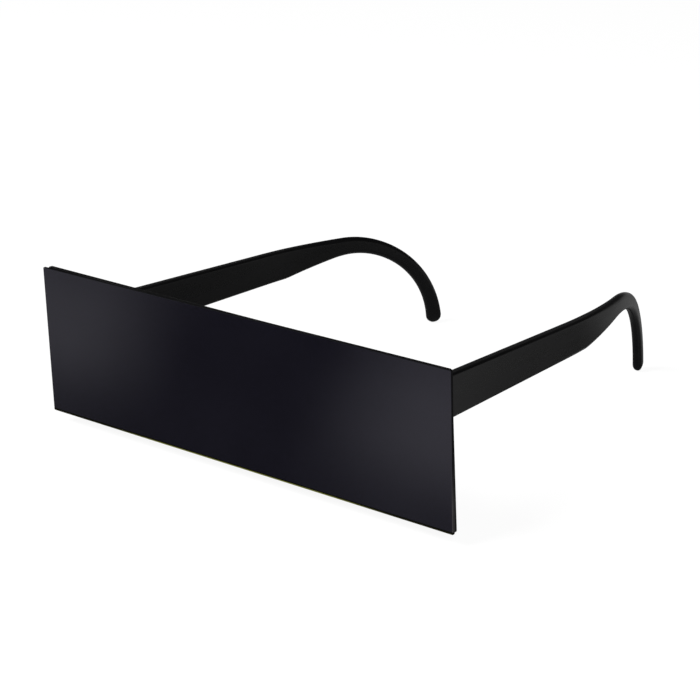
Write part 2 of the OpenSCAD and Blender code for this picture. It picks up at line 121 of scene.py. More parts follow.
def settle(piece):
    """Turns a piece's live modifiers into a plain mesh."""
    bpy.context.view_layer.update()
    shaped = piece.evaluated_get(bpy.context.evaluated_depsgraph_get())
    mesh = bpy.data.meshes.new_from_object(shaped)
    name = piece.name
    bpy.data.objects.remove(piece)
    return in_scene(name, mesh)


def skin(name, rings):
    """A closed skin over rings of equally many points, shut flat at both ends."""
    bm = bmesh.new()
    rows = [[bm.verts.new(p) for p in ring] for ring in rings]
    count = len(rows[0])
    for one, two in zip(rows, rows[1:]):
        for k in range(count):
            bm.faces.new((one[k], one[(k + 1) % count], two[(k + 1) % count], two[k]))
    bm.faces.new(rows[0])
    bm.faces.new(rows[-1])
    bmesh.ops.recalc_face_normals(bm, faces=bm.faces)
    mesh = bpy.data.meshes.new(name)
    bm.to_mesh(mesh)
    bm.free()
    return in_scene(name, mesh)


def combine(piece, tool, operation):
    """Adds a solid to a piece, or takes it away from it."""
    change = piece.modifiers.new(operation, "BOOLEAN")
    change.operation = operation
    change.solver = "EXACT"
    change.object = tool
    piece = settle(piece)
    bpy.data.objects.remove(tool)
    return piece


def moulding(name, outline, front, rear, edge, left=False, opening=False, bevel=0.0, sideways=False):
    """A flat solid between two depths, from an outline that can shrink. Its edges are rounded by edge,
    and its rear edge can be bevelled. As an opening it grows at both ends instead, so that what it cuts
    gets rounded rims. Sideways, its outline is seen from the side."""
    sides = [(front, 0), (rear - bevel, 0), (rear, bevel)] if bevel else [(front, 0), (rear, 0)]
    deep = bevel + 2 * edge
    profile = rounded(sides + [(rear, deep), (front, deep)], [edge] * len(sides) + [0.0, 0.0], 4)
    rows = profile[:5 * len(sides)]
    if opening:
        rows = [(front - MM, edge)] + rows + [(rear + MM, edge)]
        rows = [(y, -shrink) for y, shrink in rows]
    else:
        rows = [(front, deep)] + rows + [(rear, deep)]
    return skin(name, [mirrored([(y, x, z) if sideways else (x, y, z) for x, z in outline(shrink)], left)
                       for y, shrink in rows])


def mirrored(points, left):
    """Points of the right side, or their mirror image on the left."""
    return [Vector((-p[0] if left else p[0], p[1], p[2])) for p in points]


def rod(name, start, end, radius, left=False, steps=48):
    """A straight round rod."""
    along = (Vector(end) - Vector(start)).normalized()
    across = along.orthogonal().normalized()
    turns = [Matrix.Rotation(math.tau * k / steps, 3, along) @ across * radius for k in range(steps)]
    return skin(name, [mirrored([Vector(p) + t for t in turns], left) for p in (start, end)])


def block(name, low, high, left=False):
    """A plain box."""
    ring = [(low[0], low[2]), (high[0], low[2]), (high[0], high[2]), (low[0], high[2])]
    return skin(name, [mirrored([(x, y, z) for x, z in ring], left) for y in (low[1], high[1])])


def plate_outline(shrink):
    """The front's outer outline: a little wider below than above. Its upper edge dips over the nose and
    stays lower towards the right end."""
    low_hw, top_hw = frame_high.x - shrink, frame_high.x - 1.0 * MM - shrink
    low, top = frame_low.z + shrink, frame_high.z - shrink
    corners = [(-low_hw, low), (low_hw, low), (top_hw, top - brow_right),
               (10 * MM, top - brow_low), (-top_hw, top)]
    return rounded(corners, [corner_r, corner_r, corner_r, brow_r, corner_r])


def window_outline(shrink):
    """The right eye window, each side moved inwards by shrink."""
    low, high = -window_hh + shrink, window_hh - shrink
    return rounded([(window_in + window_slant + shrink, low), (window_out - shrink, low),
                    (window_out - shrink, high), (window_in + shrink, high)], window_r - shrink, 16)


def notch_outline(shrink):
    """The notch for the nose, open at the lower edge. Its sides run along the nose pads."""
    slope = (pad_low.x - pad_top.x) / (pad_top.z - pad_low.z)

    def half(z):
        return pad_top.x - pad_r + 0.3 * MM + (pad_top.z - z) * slope - shrink
    low = frame_low.z
    corner = low + notch_flare
    right = [(half(low) + notch_flare + MM, low - MM), (half(corner), corner),
             (half(notch_top), notch_top - shrink)]
    radii = [0.1 * MM, 0.8 * MM, 5 * MM - shrink]
    return rounded(right + [(-x, z) for x, z in reversed(right)], radii + radii[::-1])


def bridge_outline(shrink):
    """The raised bar over the nose."""
    hw, low, high = bridge_hw, bridge_low + shrink, bridge_high - shrink
    return rounded([(-hw, low), (hw, low), (hw, high), (-hw, high)], bridge_r)


def lug(left):
    """The wall that carries a hinge. It flares into the plate and ends square at the joint."""
    flare_r, edge = 2.5 * MM, 0.15 * MM
    rings = [(plate_rear - 0.5 * MM, flare_r)]
    for a in (math.pi / 2 * k / 14 for k in range(15)):
        rings.append((plate_rear + flare_r * (1 - math.cos(a)), flare_r * (1 - math.sin(a))))
    rings += [(pin.y - edge * (1 - math.sin(a)), -edge * (1 - math.cos(a)))
              for a in (0, 0.5, 1.05, math.pi / 2)]
    return skin("lug", [mirrored([(x, y, z) for x, z in rounded(
        [(root_in_x - grow, blade_low - min(grow, 0)), (root_out_x + grow, blade_low - min(grow, 0)),
         (root_out_x + grow, blade_top + min(grow, 0)), (root_in_x - grow, blade_top + min(grow, 0))],
        blade_edge_r, 6)], left) for y, grow in rings])


def nose_pad(left):
    """A thin wing that leans outwards, with a filleted root and a rounded rim."""
    rings = []
    tip = pad_reach - pad_r
    for k in range(-1, 19):
        s = min(1, max(0, k) / 12)
        depth = tip * s - (0.7 * MM if k < 0 else 0)
        top = pad_top + Vector((1.6 * s, 0, -3.3 * s)) * MM
        low = pad_low + Vector((1.6 * s, 0, 2.2 * s)) * MM
        closing = math.pi / 2 * max(0, k - 12) / 6
        radius = pad_r * max(0.02, math.cos(closing)) + 0.9 * MM * max(0, 1 - depth / (2 * MM)) ** 2
        along = (low - top).normalized()
        across = Vector((along.z, 0, -along.x))
        ring = []
        for end, first in ((top, math.pi), (low, 0)):
            back = depth + pad_r * math.sin(closing) - (2 * pad_r * s if end is top else 0)
            for a in (first + math.pi * i / 12 for i in range(13)):
                point = end + (across * math.cos(a) + along * math.sin(a)) * radius
                ring.append((point.x, plate_rear + back, point.z))
        rings.append(mirrored(ring, left))
    return skin("nose_pad", rings)


def cut_hinge(piece, left, toward):
    """Takes the hinge's seat out of a lug or a temple: the leaf's bed, its two stud holes and the
    round hollow that the knuckles turn in."""
    leaf_end = relief_r + leaf_len + seat_gap
    bed = sorted((pin.y, pin.y + toward * leaf_end))
    depth = root_in_x + leaf_sink + seat_gap
    piece = combine(piece, block("bed", (root_in_x - MM, bed[0], leaf_low.z - seat_gap),
                                 (depth, bed[1], leaf_high.z + seat_gap), left), "DIFFERENCE")
    hollow = ((pin.x, pin.y, screw_low.z - 0.3 * MM), (pin.x, pin.y, screw_high.z + 0.3 * MM))
    piece = combine(piece, rod("hollow", *hollow, relief_r, left), "DIFFERENCE")
    for place in stud_places:
        y, z = pin.y + toward * (relief_r + place), pin.z
        hole = rod("stud_hole", (root_in_x, y, z), (depth + stud_len, y, z), stud_r + seat_gap, left)
        piece = combine(piece, hole, "DIFFERENCE")
    return piece


def smooth(piece, degrees=32, large=60 * MM ** 2):
    """Smooth shading that keeps the real corners sharp, and faces with a large area flat."""
    bm = bmesh.new()
    bm.from_mesh(piece.data)
    bmesh.ops.remove_doubles(bm, verts=bm.verts, dist=0.0005 * MM)
    bmesh.ops.dissolve_degenerate(bm, edges=bm.edges, dist=0.0003 * MM)
    for face in bm.faces:
        face.smooth = True
    for edge in bm.edges:
        turn = edge.calc_face_angle(math.pi)
        area = max(face.calc_area() for face in edge.link_faces)
        edge.smooth = turn < math.radians(0.5 if area > large else degrees)
    bm.to_mesh(piece.data)
    bm.free()


def add(tree, kind, inputs=None, **settings):
    """A node with its settings, and a value or a link on each of the inputs named."""
    node = tree.nodes.new(kind)
    for key, value in settings.items():
        setattr(node, key, value)
    for key, value in (inputs or {}).items():
        if isinstance(value, bpy.types.NodeSocket):
            tree.links.new(value, node.inputs[key])
        else:
            node.inputs[key].default_value = value
    return node


def calc(tree, operation, *values):
    """The result of one sum on numbers or sockets."""
    return add(tree, "ShaderNodeMath", dict(enumerate(values)), operation=operation).outputs[0]


def new_material(name, **constants):
    """A material with its shader and the object's own coordinates."""
    made = bpy.data.materials.new(name)
    made.use_nodes = True
    tree = made.node_tree
    tree.nodes.clear()
    shader = add(tree, "ShaderNodeBsdfPrincipled", constants)
    add(tree, "ShaderNodeOutputMaterial", {"Surface": shader.outputs[0]})
    place = add(tree, "ShaderNodeTexCoord").outputs["Object"]
    return made, tree, shader, place


def noise(tree, place, size, detail=3.0, stretch=(1, 1, 1)):
    """Soft noise with spots of about that size, in metres, drawn out by stretch."""
    scaled = add(tree, "ShaderNodeVectorMath", {0: place, 1: stretch}, operation="MULTIPLY").outputs[0]
    inputs = {"Vector": scaled, "Scale": 1 / size, "Detail": detail}
    return add(tree, "ShaderNodeTexNoise", inputs).outputs["Fac"]


def spread(tree, value, low, high, rise_from=0.3, rise_to=0.7):
    """Turns noise into a value between low and high."""
    return add(tree, "ShaderNodeMapRange", {"Value": value, "From Min": rise_from, "From Max": rise_to,
                                            "To Min": low, "To Max": high}).outputs[0]


def blend(tree, share, one, two):
    """A colour between two others."""
    mix = add(tree, "ShaderNodeMix", data_type="RGBA")
    for socket, value in zip((mix.inputs[0], mix.inputs[6], mix.inputs[7]), (share, one, two)):
        if isinstance(value, bpy.types.NodeSocket):
            tree.links.new(value, socket)
        else:
            socket.default_value = (*value, 1)
    return mix.outputs[2]


def relief(tree, shader, *layers):
    """Stacks bumps of (height, depth in metres) on a shader."""
    normal = None
    for height, depth in layers:
        inputs = {"Height": height, "Distance": depth, "Strength": 1.0}
        if normal:
            inputs["Normal"] = normal
        normal = add(tree, "ShaderNodeBump", inputs).outputs[0]
    tree.links.new(normal, shader.inputs["Normal"])


def moulded_black(name, dark, light, rough, shine):
    """Black injection-moulded plastic: satin, slightly uneven, with a fine grain from the mould."""
    made, tree, shader, place = new_material(name, IOR=1.49)
    shader.inputs["Specular IOR Level"].default_value = shine
    broad = noise(tree, place, 22 * MM)
    grain = noise(tree, place, 0.5 * MM, 3.0)
    scuffs = noise(tree, place, 3.5 * MM, 5.0, (1.0, 0.18, 1.3))
    tree.links.new(blend(tree, spread(tree, broad, 0, 1), dark, light), shader.inputs["Base Color"])
    worn = calc(tree, "ADD", spread(tree, broad, rough - 0.03, rough + 0.03),
                spread(tree, scuffs, -0.03, 0.05))
    tree.links.new(calc(tree, "ADD", worn, spread(tree, grain, -0.02, 0.02)), shader.inputs["Roughness"])
    relief(tree, shader, (broad, 0.03 * MM), (grain, 0.0012 * MM))
    return made


frame_black = moulded_black("moulded_front_black", (0.0022, 0.0022, 0.0024), (0.0036, 0.0036, 0.004),
                            0.34, 0.2)

front = moulding("moulded_front", plate_outline, plate_front, plate_rear, outer_edge, bevel=rear_bevel)
bridge = moulding("bridge", bridge_outline, raised_root, wire_rear, raised_edge)
front = combine(front, bridge, "UNION")
for left in (False, True):
    wire = moulding("wire", lambda shrink: window_outline(shrink - wire_w), raised_root, wire_rear,
                    raised_edge, left)
    front = combine(front, wire, "UNION")
    front = combine(front, lug(left), "UNION")
notch = moulding("notch", notch_outline, plate_front, plate_rear, opening_edge, opening=True)
front = combine(front, notch, "DIFFERENCE")
for left in (False, True):
    window = moulding("window", window_outline, plate_front, wire_rear, opening_edge, left, opening=True)
    front = combine(front, window, "DIFFERENCE")
    front = combine(front, nose_pad(left), "UNION")
    front = cut_hinge(front, left, -1)
smooth(front)
front.data.materials.clear()
front.data.materials.append(frame_black)
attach(front, "front")
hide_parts("front_frame")

# The double-sided tape
# Five strips of thin clear tape between the back of the panel and the flat face of the front. They
# are cut straight from a roll, and two short ones lie below, beside the notch for the nose.
tape_clear, tree, shader, place = new_material("clear_tape", IOR=1.45, Roughness=0.5)
bubbles = noise(tree, place, 0.6 * MM, 2.0)
tree.links.new(blend(tree, spread(tree, bubbles, 0, 1), (0.42, 0.42, 0.38), (0.56, 0.56, 0.52)),
               shader.inputs["Base Color"])
relief(tree, shader, (bubbles, 0.01 * MM))
for name, node in frame["nodes"].items():
    if name.startswith("panel_tape"):
        node.data.materials.clear()
        node.data.materials.append(tape_clear)

# The tinted panel
# One flat sheet of nearly black tinted acrylic, which is the whole front of the glasses and also the
# lens. It is cut to size and polished. The sheet is glossy, and the light its cut edges catch is painted on.
panel_low, panel_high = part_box("bar_panel")
panel_corner_r, panel_edge = 0.4 * MM, 0.15 * MM
rim_w, side_w, bottom_band_h = 0.12 * MM, 0.3 * MM, 0.8 * MM
glow_h, glow_middle, glow_near, glow_far = 0.4 * MM, 2 * MM, 30 * MM, 60 * MM
tint_dark, tint_light = (0.0029, 0.0026, 0.0056), (0.0042, 0.0039, 0.0073)
rim_tint, side_highlight_tint = (0.003, 0.003, 0.0032), (0.034, 0.032, 0.032)
bottom_band_tint, painted_glow_tint = (0.0012, 0.001, 0.0006), (0.13, 0.135, 0.025)


def panel_outline(shrink):
    """The panel's rectangle."""
    hw, hh = panel_high.x - shrink, panel_high.z - shrink
    return rounded([(-hw, -hh), (hw, -hh), (hw, hh), (-hw, hh)], panel_corner_r, 6)


panel_black, tree, shader, place = new_material("tinted_acrylic", IOR=1.49)
shader.inputs["Specular Tint"].default_value = (0.88, 0.85, 1, 1)
cloud = noise(tree, place, 30 * MM, 2.0)
haze = noise(tree, place, 1.2 * MM, 5.0, (0.25, 1, 1.2))
wave = noise(tree, place, 55 * MM, 1.0)
body = blend(tree, spread(tree, cloud, 0, 1), tint_dark, tint_light)
axes = add(tree, "ShaderNodeSeparateXYZ", {0: place}).outputs
from_side = calc(tree, "SUBTRACT", panel_high.x, calc(tree, "ABSOLUTE", axes[0]))
from_top = calc(tree, "SUBTRACT", panel_high.z, axes[2])
from_low = calc(tree, "ADD", panel_high.z, axes[2])
rim = calc(tree, "LESS_THAN", calc(tree, "MINIMUM", from_side, from_top), rim_w)
# Low on the sides the cut edges are painted pale, a painted highlight that grows towards the bottom
side_highlight = calc(tree, "MULTIPLY", calc(tree, "LESS_THAN", from_side, side_w),
               spread(tree, axes[2], 0, 1, -4 * MM, -16 * MM))
edged = blend(tree, side_highlight, blend(tree, rim, body, rim_tint), side_highlight_tint)
# A yellow-green line of painted light along the bottom edge: a painted glow, strongest in the middle
off_middle = calc(tree, "ABSOLUTE", calc(tree, "SUBTRACT", axes[0], glow_middle))
across = add(tree, "ShaderNodeMapRange", {"Value": off_middle, "From Min": glow_near, "From Max": glow_far,
                                          "To Min": 1.0, "To Max": 0.12},
             interpolation_type="SMOOTHSTEP").outputs[0]
# A dark, dull band runs along the bottom edge
bottom_band = calc(tree, "LESS_THAN", from_low, bottom_band_h)
painted_glow = calc(tree, "MULTIPLY", calc(tree, "LESS_THAN", from_low, glow_h), across)
lined = blend(tree, bottom_band, edged, bottom_band_tint)
tree.links.new(blend(tree, painted_glow, lined, painted_glow_tint), shader.inputs["Base Color"])
dull = calc(tree, "MAXIMUM", rim, bottom_band)
tree.links.new(calc(tree, "SUBTRACT", 0.5, calc(tree, "MULTIPLY", dull, 0.42)),
               shader.inputs["Specular IOR Level"])
tree.links.new(calc(tree, "ADD", spread(tree, haze, 0.05, 0.10), calc(tree, "MULTIPLY", dull, 0.4)),
               shader.inputs["Roughness"])
relief(tree, shader, (wave, 0.05 * MM), (haze, 0.0006 * MM))

panel = moulding("tinted_panel", panel_outline, panel_low.y, panel_high.y, panel_edge)
smooth(panel)
panel.data.materials.append(panel_black)
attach(panel, "front")
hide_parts("bar_panel")

# The hinges
# Two small three-knuckle hinges stamped from steel strip and nickel plated. Each leaf is set into the
# plastic with two studs, and a slotted screw turned from steel rod is the hinge's pin.
leaf_metal, tree, shader, place = new_material("plated_steel", Metallic=1.0)
streaks = noise(tree, place, 0.25 * MM, 4.0, (1, 0.06, 1))
dull = noise(tree, place, 2.5 * MM)
tree.links.new(blend(tree, spread(tree, dull, 0, 1), (0.50, 0.49, 0.47), (0.62, 0.61, 0.59)),
               shader.inputs["Base Color"])
tree.links.new(spread(tree, streaks, 0.22, 0.38), shader.inputs["Roughness"])
relief(tree, shader, (streaks, 0.003 * MM))
screw_metal, tree, shader, place = new_material("turned_steel", Metallic=1.0)
axes = add(tree, "ShaderNodeSeparateXYZ", {0: place}).outputs
off_x = calc(tree, "SUBTRACT", calc(tree, "ABSOLUTE", axes[0]), pin.x)
off_y = calc(tree, "SUBTRACT", axes[1], pin.y)
reach = calc(tree, "SQRT", calc(tree, "ADD", calc(tree, "POWER", off_x, 2), calc(tree, "POWER", off_y, 2)))
rings = calc(tree, "SINE", calc(tree, "MULTIPLY", reach, math.tau / (0.09 * MM)))
dull = noise(tree, place, 0.8 * MM)
tree.links.new(blend(tree, spread(tree, dull, 0, 1), (0.44, 0.43, 0.42), (0.56, 0.55, 0.54)),
               shader.inputs["Base Color"])
tree.links.new(spread(tree, dull, 0.2, 0.32), shader.inputs["Roughness"])
relief(tree, shader, (rings, 0.0015 * MM))
leaf_t, leaf_corner_r, leaf_edge = 1.1 * MM, 1.0 * MM, 0.12 * MM
leaf_in_x = root_in_x + leaf_sink - leaf_t
knuckle_r, outer_knuckle_h, middle_knuckle_h = 1.5 * MM, 2 * MM, 2.4 * MM
screw_r, head_r, head_h = 0.7 * MM, 1.25 * MM, 0.7 * MM
slot_w, slot_d = 0.4 * MM, 0.35 * MM


def turned(name, corners, radii, left):
    """A round piece turned about the hinge's pin, from the corners of its radii and heights."""
    profile = rounded(corners, [0.0] + radii + [0.0], 4)[5:-5]
    turns = [math.tau * k / 64 for k in range(64)]
    return skin(name, [mirrored([(pin.x + r * math.cos(a), pin.y + r * math.sin(a), z) for a in turns], left)
                       for r, z in profile])


def leaf(name, left, toward, knuckles, bore):
    """A hinge leaf: a plate with rounded corners, two studs, and knuckles on short necks."""
    low_y, high_y = sorted((pin.y + toward * relief_r, pin.y + toward * (relief_r + leaf_len)))

    def outline(shrink):
        low, high = (low_y + shrink, leaf_low.z + shrink), (high_y - shrink, leaf_high.z - shrink)
        return rounded([low, (high[0], low[1]), high, (low[0], high[1])], leaf_corner_r - shrink, 6)
    piece = moulding(name, outline, leaf_in_x, leaf_in_x + leaf_t, leaf_edge, left, sideways=True)
    for low, high in knuckles:
        barrel = turned("barrel", [(0, low), (knuckle_r, low), (knuckle_r, high), (0, high)],
                        [leaf_edge] * 2, left)
        near, far = sorted((pin.y, pin.y + toward * (relief_r + MM)))
        neck = block("neck", (leaf_in_x + 0.03 * MM, near, low + 0.05 * MM),
                     (leaf_in_x + leaf_t - 0.03 * MM, far, high - 0.05 * MM), left)
        piece = combine(combine(piece, barrel, "UNION"), neck, "UNION")
    for place in stud_places:
        y, z = pin.y + toward * (relief_r + place), pin.z
        stud = rod("stud", (leaf_in_x + 0.5 * MM, y, z), (leaf_in_x + leaf_t + stud_len, y, z), stud_r, left)
        piece = combine(piece, stud, "UNION")
    hole = rod("bore", (pin.x, pin.y, leaf_low.z - MM), (pin.x, pin.y, leaf_high.z + MM), bore, left)
    return combine(piece, hole, "DIFFERENCE")


outer_knuckles = [(leaf_low.z, leaf_low.z + outer_knuckle_h), (leaf_high.z - outer_knuckle_h, leaf_high.z)]
middle_knuckle = [(pin.z - middle_knuckle_h / 2, pin.z + middle_knuckle_h / 2)]
for left, side in ((False, "right"), (True, "left")):
    front_leaf = leaf("front_leaf", left, -1, outer_knuckles, screw_r + seat_gap)
    temple_leaf = leaf("temple_leaf", left, 1, middle_knuckle, screw_r + 0.05 * MM)
    head_low = screw_high.z - head_h
    screw = turned("screw", [(0, screw_low.z), (screw_r, screw_low.z), (screw_r, head_low),
                             (head_r, head_low), (head_r, screw_high.z), (0, screw_high.z)],
                   [0.2 * MM, 0.04 * MM, 0.1 * MM, 0.2 * MM], left)
    slot = block("slot", (pin.x - 2 * MM, pin.y - slot_w / 2, screw_high.z - slot_d),
                 (pin.x + 2 * MM, pin.y + slot_w / 2, screw_high.z + MM), left)
    screw = combine(screw, slot, "DIFFERENCE")
    for piece, node, body, metal, finish in (
            (front_leaf, side + "_front_leaf", "front", leaf_metal, "hinge_metal"),
            (temple_leaf, side + "_temple_leaf", side + "_arm", leaf_metal, "hinge_metal"),
            (screw, side + "_hinge_screw", "front", screw_metal, "screw_metal")):
        smooth(piece)
        piece.name = side + "_plated_" + piece.name
        piece.data.materials.clear()
        piece.data.materials.append(metal)
        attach(piece, body)
        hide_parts(node)

# The temples
# Each temple is one black moulding: a tall flat blade that narrows at a knee, bends inwards behind
# the head and becomes a round hook over the ear. Both come from mirrored halves of one mould.
temple_x = 64.84 * MM
toe_in, bend_end = math.radians(2.22), math.radians(23.4)
bend_from, bend_r = 80.4 * MM, 151 * MM
knee = Vector((89.8, 0.65)) * MM
hook_outer_r, hook_inner_r = 38.2 * MM, 30 * MM
hook_top = Vector((113.1, 9.68)) * MM
limb_h, hook_shift, arch_lead = 6.25 * MM, 2.85 * MM, 1.24
tip_angle = math.radians(-0.1)
blade_steps, hook_steps, tip_steps = 64, 56, 8
outer_c = hook_top - Vector((0, hook_outer_r))
inner_c = hook_top + Vector((hook_shift, -limb_h - hook_inner_r))
turn_c = (outer_c + inner_c) / 2


def touch_tilt(p, c, r):
    """Tilt of the line from p that touches the upper side of a circle."""
    away = c - p
    return math.atan2(away.y, away.x) + math.asin(r / away.length)


def arched(y):
    """The place on the hook's inner circle that stands for y, because the arch's front is drawn out."""
    return inner_c.x + (y - inner_c.x) / arch_lead if y < inner_c.x else y


top_tilt = touch_tilt(Vector((pin.y, blade_top)), outer_c, hook_outer_r)
rise_tilt = touch_tilt(Vector((arched(knee.x), knee.y)), inner_c, hook_inner_r)
top_touch = outer_c.x - hook_outer_r * math.sin(top_tilt)
rise_touch = inner_c.x - hook_inner_r * math.sin(rise_tilt) * arch_lead


def top_edge(y):
    """Height of the blade's upper edge."""
    if y < top_touch:
        return blade_top + (y - pin.y) * math.tan(top_tilt)
    return outer_c.y + math.sqrt(hook_outer_r ** 2 - (y - outer_c.x) ** 2)


def low_edge(y):
    """Height of the blade's lower edge: straight to the knee, then up to the hook's inner curve."""
    if y < knee.x:
        return blade_low + (y - pin.y) * (knee.y - blade_low) / (knee.x - pin.y)
    if y < rise_touch:
        return knee.y + (y - knee.x) * math.tan(rise_tilt) / arch_lead
    return inner_c.y + math.sqrt(hook_inner_r ** 2 - (arched(y) - inner_c.x) ** 2)


def on_circle(angle, c, r):
    """Where a ray from the hook's turning point meets a circle."""
    d, w = Vector((math.cos(angle), math.sin(angle))), c - turn_c
    along = w.dot(d)
    return turn_c + d * (along + math.sqrt(r * r - w.length_squared + along * along))


def station(top, low, shrink=1.0, inset=0.0):
    """One place along the temple: its middle, the way to its upper edge, half sizes and edge radius."""
    middle, up = (top + low) / 2, top - low
    share = min(1, max(0, (middle.x - knee.x) / (hook_top.x - knee.x)))
    radius = blade_edge_r + ((blade_t - 0.1 * MM) / 2 - blade_edge_r) * share
    return (middle, up.normalized(), up.length / 2 * shrink - inset, blade_t / 2 * shrink - inset,
            radius * shrink - inset)


def temple_stations():
    """The places along a temple from the joint to the hook's tip."""
    first, edge = pin.y + 0.2 * MM, 0.15 * MM
    made = []
    for a in (math.pi / 2, 1.05, 0.5, 0):
        y = first + edge * (1 - math.sin(a))
        made.append(station(Vector((y, top_edge(y))), Vector((y, low_edge(y))),
                            inset=edge * (1 - math.cos(a))))
    made.insert(0, (made[0][0], made[0][1], 0.0, 0.0, 0.0))
    for k in range(1, blade_steps + 1):
        y = first + edge + (turn_c.x - first - edge) * k / blade_steps
        made.append(station(Vector((y, top_edge(y))), Vector((y, low_edge(y)))))
    tip = (on_circle(tip_angle, outer_c, hook_outer_r), on_circle(tip_angle, inner_c, hook_inner_r))
    cap = math.atan((tip[0] - tip[1]).length / 2 / ((tip[0] + tip[1]) / 2 - turn_c).length)
    limb_end = tip_angle + cap
    quarter = math.pi / 2
    angles = [(quarter + (limb_end - quarter) * k / hook_steps, 1.0) for k in range(1, hook_steps + 1)]
    closing = [quarter * k / tip_steps for k in range(1, tip_steps + 1)]
    angles += [(limb_end - cap * math.sin(a), math.cos(a)) for a in closing]
    for a, shrink in angles:
        made.append(station(on_circle(a, outer_c, hook_outer_r), on_circle(a, inner_c, hook_inner_r),
                            max(shrink, 0.0)))
    return made


